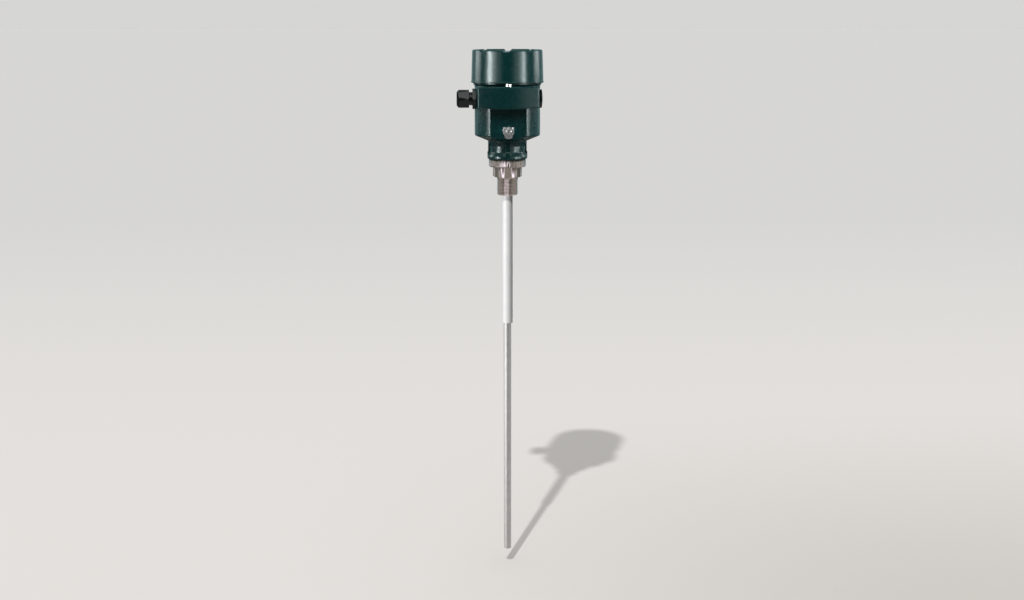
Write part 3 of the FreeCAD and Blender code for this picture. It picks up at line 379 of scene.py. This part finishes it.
def bump(material, height, distance, strength=1.0, under=None):
    node = add(material, "ShaderNodeBump", Strength=strength, Distance=distance)
    wire(material, height, node.inputs["Height"])
    if under is not None:
        wire(material, under, node.inputs["Normal"])
    return node.outputs["Normal"]


def shader_of(material):
    return material.node_tree.nodes["Principled BSDF"]


print("helpers ready")

# %% [markdown]
# ## Soft edges and worn edges
#
# Cast and machined edges are never knife sharp. The Bevel node looks at the surface nearby and gives a
# rounded normal, which catches a thin light along each edge. Where that rounded normal leans away from the
# true one, we are on an edge, and that gives a mask for the places where a coat rubs thin.


# %% Edge helpers
def soft_normal(material, radius):
    node = add(material, "ShaderNodeBevel", Radius=radius)
    node.samples = 4
    return node.outputs["Normal"]


def edge_mask(material, radius):
    rounded = soft_normal(material, radius)
    geometry = add(material, "ShaderNodeNewGeometry")
    dot = add(material, "ShaderNodeVectorMath")
    dot.operation = "DOT_PRODUCT"
    wire(material, rounded, dot.inputs[0])
    wire(material, geometry.outputs["Normal"], dot.inputs[1])
    return spread(material, dot.outputs["Value"], 1.0, 0.0, 0.75, 0.98)


print("edge helpers ready")

# %% [markdown]
# ## The green coat
#
# The housing and the lid are cast aluminium with a dark blue-green powder coat. Powder melts into a skin
# with a faint orange-peel ripple, a slightly uneven gloss and, at the edges, a thinner and paler film. The
# coat mirrors only a few parts in a hundred, so the body stays deep and dark beside its two bright stripes.

# %% Green coat
COAT_DEEP = (0.0028, 0.0510, 0.0510)
COAT_LIGHT = (0.0036, 0.0580, 0.0580)
COAT_THIN = (0.014, 0.125, 0.116)


def green_coat(name, rough):
    material = finish(name, COAT_DEEP, rough, specular=0.2)
    vector = coordinates(material)
    cloud = noise(material, vector, 60.0, 3.0)
    body = blend_colors(material, spread(material, cloud, 0.0, 1.0), COAT_DEEP, COAT_LIGHT)
    edges = add(material, "ShaderNodeMath")
    edges.operation = "MULTIPLY"
    wire(material, edge_mask(material, 0.0007), edges.inputs[0])
    wire(material, spread(material, noise(material, vector, 380.0, 4.0), 0.15, 0.9), edges.inputs[1])
    mixed = add(material, "ShaderNodeMix")
    mixed.data_type = "RGBA"
    mixed.inputs["B"].default_value = (*COAT_THIN, 1)
    wire(material, edges.outputs[0], mixed.inputs["Factor"])
    wire(material, body, mixed.inputs["A"])
    shader = shader_of(material)
    wire(material, mixed.outputs["Result"], shader.inputs["Base Color"])
    gloss = spread(material, noise(material, vector, 240.0, 3.0), rough - 0.05, rough + 0.06)
    wire(material, gloss, shader.inputs["Roughness"])
    peel = noise(material, vector, 950.0, 2.0)
    speck = noise(material, vector, 3200.0, 1.0)
    rippled = bump(material, peel, 0.00002, 0.7, soft_normal(material, 0.0006))
    wire(material, bump(material, speck, 0.000012, 0.6, rippled), shader.inputs["Normal"])
    return material


housing_coat = green_coat("housing_coat", 0.27)
lid_coat = green_coat("lid_coat", 0.23)
print("coats:", housing_coat.name, lid_coat.name)

# %% [markdown]
# ## Turned steel
#
# The fitting is turned from one bar. A cutting tool leaves fine rings round the axis, so its pattern must
# depend on the height and the distance from the axis and not on the angle. We work out that distance with
# two maths nodes and stretch the noise along the turn. Such rings smear a reflection across themselves and
# not along, so the steel is anisotropic, with its tangent across the rings. Small steel pieces that lie
# elsewhere get a plain grain instead.


# %% Steel
RING_SCALE = 4000.0


def turned_steel(name, color, rough):
    material = finish(name, color, rough, metal=1.0)
    place = add(material, "ShaderNodeTexCoord")
    split = add(material, "ShaderNodeSeparateXYZ")
    flat = add(material, "ShaderNodeCombineXYZ")
    length = add(material, "ShaderNodeVectorMath")
    length.operation = "LENGTH"
    rings = add(material, "ShaderNodeCombineXYZ")
    wire(material, place.outputs["Object"], split.inputs["Vector"])
    wire(material, split.outputs["X"], flat.inputs["X"])
    wire(material, split.outputs["Y"], flat.inputs["Y"])
    wire(material, flat.outputs["Vector"], length.inputs[0])
    wire(material, length.outputs["Value"], rings.inputs["X"])
    wire(material, split.outputs["Z"], rings.inputs["Z"])
    lines = noise(material, rings.outputs["Vector"], RING_SCALE, 2.0)
    across = add(material, "ShaderNodeMapping", Scale=(60, 60, 0), Location=(0, 0, 1))
    wire(material, place.outputs["Object"], across.inputs["Vector"])
    shader = shader_of(material)
    shader.inputs["Anisotropic"].default_value = 0.8
    wire(material, across.outputs["Vector"], shader.inputs["Tangent"])
    vector = coordinates(material)
    stain = noise(material, vector, 130.0, 4.0)
    dark = tuple(0.90 * c for c in color)
    light = tuple(min(1.0, 1.06 * c) for c in color)
    shade = blend_colors(material, spread(material, stain, 0.0, 1.0, 0.25, 0.75), dark, light)
    wire(material, shade, shader.inputs["Base Color"])
    wire(material, spread(material, lines, rough - 0.04, rough + 0.05), shader.inputs["Roughness"])
    soft = soft_normal(material, 0.0003)
    wire(material, bump(material, lines, 0.000004, 0.5, soft), shader.inputs["Normal"])
    return material


def plain_steel(name, color, rough):
    material = finish(name, color, rough, metal=1.0)
    vector = coordinates(material)
    grain = noise(material, vector, 1800.0, 3.0)
    stain = noise(material, vector, 260.0, 3.0)
    shader = shader_of(material)
    dark = tuple(0.75 * c for c in color)
    shade = blend_colors(material, spread(material, stain, 0.0, 1.0), dark, color)
    wire(material, shade, shader.inputs["Base Color"])
    wire(material, spread(material, grain, rough - 0.07, rough + 0.1), shader.inputs["Roughness"])
    soft = soft_normal(material, 0.0002)
    wire(material, bump(material, grain, 0.00001, 0.4, soft), shader.inputs["Normal"])
    return material


fitting_steel = turned_steel("fitting_steel", (0.47, 0.415, 0.375), 0.24)
rod_steel = turned_steel("rod_steel", (0.47, 0.465, 0.46), 0.40)
screw_steel = plain_steel("screw_steel", (0.66, 0.66, 0.655), 0.28)
spring_steel = plain_steel("spring_steel", (0.36, 0.37, 0.39), 0.34)
contact_brass = plain_steel("contact_brass", (0.72, 0.50, 0.20), 0.26)
print("metals:", fitting_steel.name, rod_steel.name, screw_steel.name, contact_brass.name)

# %% [markdown]
# ## Plastics and rubber
#
# The sleeve on the rod is a milky fluoropolymer with a waxy gloss. The gland and the blind plug are black
# polyamide, whose mould was spark eroded, so their skin is evenly pebbled. The seals are soft rubber with
# hardly any gloss. One helper serves all of them: a faint cloud in the colour, a grain in the gloss, and a
# pebble in the bump.


# %% Plastics and rubber
def moulded(name, color, rough, pebble, depth, specular=0.5, variation=0.12):
    material = finish(name, color, rough, specular=specular)
    vector = coordinates(material)
    cloud = noise(material, vector, 90.0, 3.0)
    dark = tuple(c * (1 - variation) for c in color)
    light = tuple(min(1.0, c * (1 + variation)) for c in color)
    shader = shader_of(material)
    shade = blend_colors(material, spread(material, cloud, 0.0, 1.0), dark, light)
    wire(material, shade, shader.inputs["Base Color"])
    grain = noise(material, vector, pebble, 2.0)
    wire(material, spread(material, grain, rough - 0.06, rough + 0.08), shader.inputs["Roughness"])
    soft = soft_normal(material, 0.0004)
    wire(material, bump(material, grain, depth, 0.6, soft), shader.inputs["Normal"])
    return material


sleeve_white = moulded("sleeve_white", (0.80, 0.805, 0.81), 0.38, 420.0, 0.00002, 0.45, 0.03)
gland_black = moulded("gland_black", (0.0040, 0.0085, 0.0095), 0.32, 1500.0, 0.000006, 0.28)
seal_black = moulded("seal_black", (0.013, 0.013, 0.013), 0.62, 1100.0, 0.00001, 0.35)
module_grey = moulded("module_grey", (0.045, 0.050, 0.055), 0.42, 1600.0, 0.000008)
terminal_grey = moulded("terminal_grey", (0.42, 0.44, 0.43), 0.44, 1500.0, 0.000006)
component_black = moulded("component_black", (0.018, 0.018, 0.020), 0.40, 1900.0, 0.000006)
board_green = moulded("board_green", (0.012, 0.090, 0.040), 0.32, 700.0, 0.000005)
lamp_clear = moulded("lamp_clear", (0.16, 0.55, 0.20), 0.14, 300.0, 0.000005)
print("plastics ready")

# %% [markdown]
# ## The process thread
#
# The stem under the hexagon is a pipe thread: a V-shaped groove with a pitch of 1.814 mm that winds round
# it. In the solid it is a plain cylinder. Here we make a cutter: three points in a V, swept by a Screw
# modifier into a long spiral bar, and take it away from a copy of the solid with a Boolean. The bar's upper
# end is spread outwards step by step, so that the groove runs out as it does under a die.

# %% Thread cutter
THREAD_RADIUS = 0.01322
THREAD_PITCH = 0.001814
THREAD_DEPTH = 0.00116
THREAD_LOW = -0.0236
THREAD_HIGH = -0.0020
THREAD_STEPS = 48
FLANK_ANGLE = 27.5
MOUTH = 0.0003 + THREAD_DEPTH

bpy.ops.object.select_all(action="DESELECT")
bpy.ops.mesh.primitive_circle_add(
    vertices=3, radius=0.001, fill_type="NOTHING", location=(THREAD_RADIUS, 0, THREAD_LOW),
    rotation=(math.radians(90), 0, 0),
)
cutter = bpy.context.object
cutter.name = "thread_cutter"
bpy.ops.object.transform_apply(location=True, rotation=True, scale=True)
half_mouth = MOUTH * math.tan(math.radians(FLANK_ANGLE))
root = THREAD_RADIUS - THREAD_DEPTH
outline = ((root, 0), (root + MOUTH, half_mouth), (root + MOUTH, -half_mouth))
for vertex, (x, z) in zip(cutter.data.vertices, outline):
    vertex.co = (x, 0, THREAD_LOW + z)
turns = int(round((THREAD_HIGH - THREAD_LOW) / THREAD_PITCH))
spiral = cutter.modifiers.new("spiral", "SCREW")
spiral.angle = math.radians(360)
spiral.screw_offset = THREAD_PITCH
spiral.iterations = turns
spiral.steps = THREAD_STEPS
spiral.render_steps = THREAD_STEPS
bpy.ops.object.modifier_apply(modifier="spiral")
print("cutter:", len(cutter.data.vertices), "points,", turns, "turns")

# %% [markdown]
# ## Run-out
#
# A die leaves the steel gradually, so the last quarter turn of a thread gets shallower until it is gone. We
# select the spiral's last twelve profiles, widen them a little, leave the first of them out, widen the rest
# again, and so on. Then both open ends are closed with a face and all faces are turned outwards.

# %% Run-out of the cutter
RUN_OUT = 12
RUN_OUT_STEP = 1.012
points = len(cutter.data.vertices)
bpy.ops.object.mode_set(mode="EDIT")
for ring in range(RUN_OUT):
    bpy.ops.mesh.select_all(action="DESELECT")
    mesh = bmesh.from_edit_mesh(cutter.data)
    mesh.verts.ensure_lookup_table()
    for vertex in mesh.verts:
        vertex.select = vertex.index >= points - 3 * (RUN_OUT - ring)
    mesh.select_flush(True)
    bmesh.update_edit_mesh(cutter.data)
    bpy.ops.transform.resize(value=(RUN_OUT_STEP, RUN_OUT_STEP, 1.0), center_override=(0, 0, 0))
bpy.ops.mesh.select_all(action="DESELECT")
bpy.ops.mesh.select_mode(type="EDGE")
bpy.ops.mesh.select_non_manifold()
bpy.ops.mesh.edge_face_add()
bpy.ops.mesh.select_all(action="SELECT")
bpy.ops.mesh.normals_make_consistent(inside=False)
bpy.ops.object.mode_set(mode="OBJECT")
reach = max(math.hypot(vertex.co.x, vertex.co.y) for vertex in cutter.data.vertices)
print("cutter reaches", round(reach * 1000, 2), "mm from the axis")

# %% [markdown]
# ## Cutting
#
# The cut is made in a copy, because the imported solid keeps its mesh. The copy's loose triangles are merged
# first, as a Boolean needs a closed skin, and the cutter is deleted when it has done its work.

# %% Cut the thread
WELD_REACH = 0.000002

threaded = bpy.data.objects.new("threaded_fitting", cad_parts["process_fitting"].data.copy())
bpy.context.scene.collection.objects.link(threaded)
bpy.ops.object.select_all(action="DESELECT")
threaded.select_set(True)
bpy.context.view_layer.objects.active = threaded
bpy.ops.object.mode_set(mode="EDIT")
bpy.ops.mesh.select_all(action="SELECT")
bpy.ops.mesh.remove_doubles(threshold=WELD_REACH)
bpy.ops.object.mode_set(mode="OBJECT")
cut = threaded.modifiers.new("thread", "BOOLEAN")
cut.operation = "DIFFERENCE"
cut.solver = "EXACT"
cut.object = cutter
bpy.ops.object.modifier_apply(modifier="thread")
bpy.data.objects.remove(cutter)
print("threaded fitting:", len(threaded.data.polygons), "faces")

# %% [markdown]
# ## Dressing the solids
#
# Most solids already have the right shape, so they only get their finish. Their meshes are loose triangles,
# which would show as flat facets. Three live modifiers cure that without touching the mesh: Weld joins the
# triangles, Edge Split keeps real edges crisp, and Weighted Normal lets large faces stay flat beside small
# roundings.

# %% Finishes by node
FINISHES = {
    housing_coat: ["housing_body"],
    lid_coat: ["lid"],
    fitting_steel: ["process_fitting", "packing_nut", "thrust_washer"],
    rod_steel: ["rod"],
    screw_steel: [
        "clamp_screw", "lock_screw", "earth_clamp", "earth_screw", "module_screws", "terminal_screws",
        "stop_pin",
    ],
    spring_steel: ["disc_springs", "retaining_ring", "earth_washer", "lock_washer"],
    contact_brass: ["contact_socket", "inner_earth_screw"],
    sleeve_white: ["insulation_sleeve", "seal_bush", "upper_insulator"],
    gland_black: ["gland_body", "gland_nut", "gland_ring", "blind_plug"],
    seal_black: ["gland_seal", "gland_gasket", "plug_gasket", "lid_seal", "neck_seals"],
    module_grey: ["module_body", "module_cover"],
    terminal_grey: ["terminal_block", "adjuster", "mode_switch"],
    component_black: ["board_components", "adjuster_base", "switch_base"],
    board_green: ["circuit_board"],
    lamp_clear: ["status_lamp"],
}


def dress(node_name, material, crease=32.0):
    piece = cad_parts[node_name]
    piece.data.materials.clear()
    piece.data.materials.append(material)
    for face in piece.data.polygons:
        face.use_smooth = True
        face.material_index = 0
    weld = piece.modifiers.new("weld", "WELD")
    weld.merge_threshold = WELD_REACH
    crisp = piece.modifiers.new("crisp_edges", "EDGE_SPLIT")
    crisp.split_angle = math.radians(crease)
    even = piece.modifiers.new("even_normals", "WEIGHTED_NORMAL")
    even.keep_sharp = True
    return piece


for material, names in FINISHES.items():
    for name in names:
        dress(name, material)
dressed = sum(len(names) for names in FINISHES.values())
print("dressed", dressed, "of", len(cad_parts), "nodes")

# %% [markdown]
# ## The finished fitting
#
# The threaded copy takes the place of the plain fitting. It gets the same turned steel and smooth shading on
# its round faces, and it rides on the sensor's body, which the vessel holds by this thread.

# %% Finish of the threaded fitting
threaded.data.materials.clear()
threaded.data.materials.append(fitting_steel)
bpy.ops.object.select_all(action="DESELECT")
threaded.select_set(True)
bpy.context.view_layer.objects.active = threaded
bpy.ops.object.shade_smooth_by_angle(angle=math.radians(30))
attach(threaded, "sensor")
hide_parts("process_fitting")
print("fitting rides on the sensor")

# %% [markdown]
# ## Light linking
#
# In the photograph each material has its own reflections: two stripes on the coat, a line on the rod, a
# lilac front on the fitting. One set of lamps can't give them all, so every lamp is kept to the pieces that
# it was made for. The key lamp lights the ground and the pieces that are neither coated nor turned.


# %% Light linking
def nodes_of(*names):
    return [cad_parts[name] for name in names]


coat = nodes_of("housing_body", "lid")
small_steel = nodes_of(
    "earth_clamp", "earth_screw", "earth_washer", "lock_screw", "lock_washer", "clamp_screw",
)
steel = [threaded] + nodes_of("rod")
others = [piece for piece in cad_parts.values() if piece not in coat + steel]
for lamp in stripes + [coat_top]:
    only_for(lamp, coat + small_steel)
for lamp in glows:
    only_for(lamp, coat)
for lamp in lid_fades:
    only_for(lamp, nodes_of("lid"))
only_for(edge_right, nodes_of("housing_body"))
only_for(sleeve_light, nodes_of("insulation_sleeve"))
only_for(rod_light, nodes_of("rod"))
only_for(fitting_front, [threaded])
only_for(front_fill, nodes_of("rod"))
only_for(side_left, [threaded] + small_steel)
only_for(side_right, steel + small_steel)
only_for(key, others + [ground])
print("lamps linked")
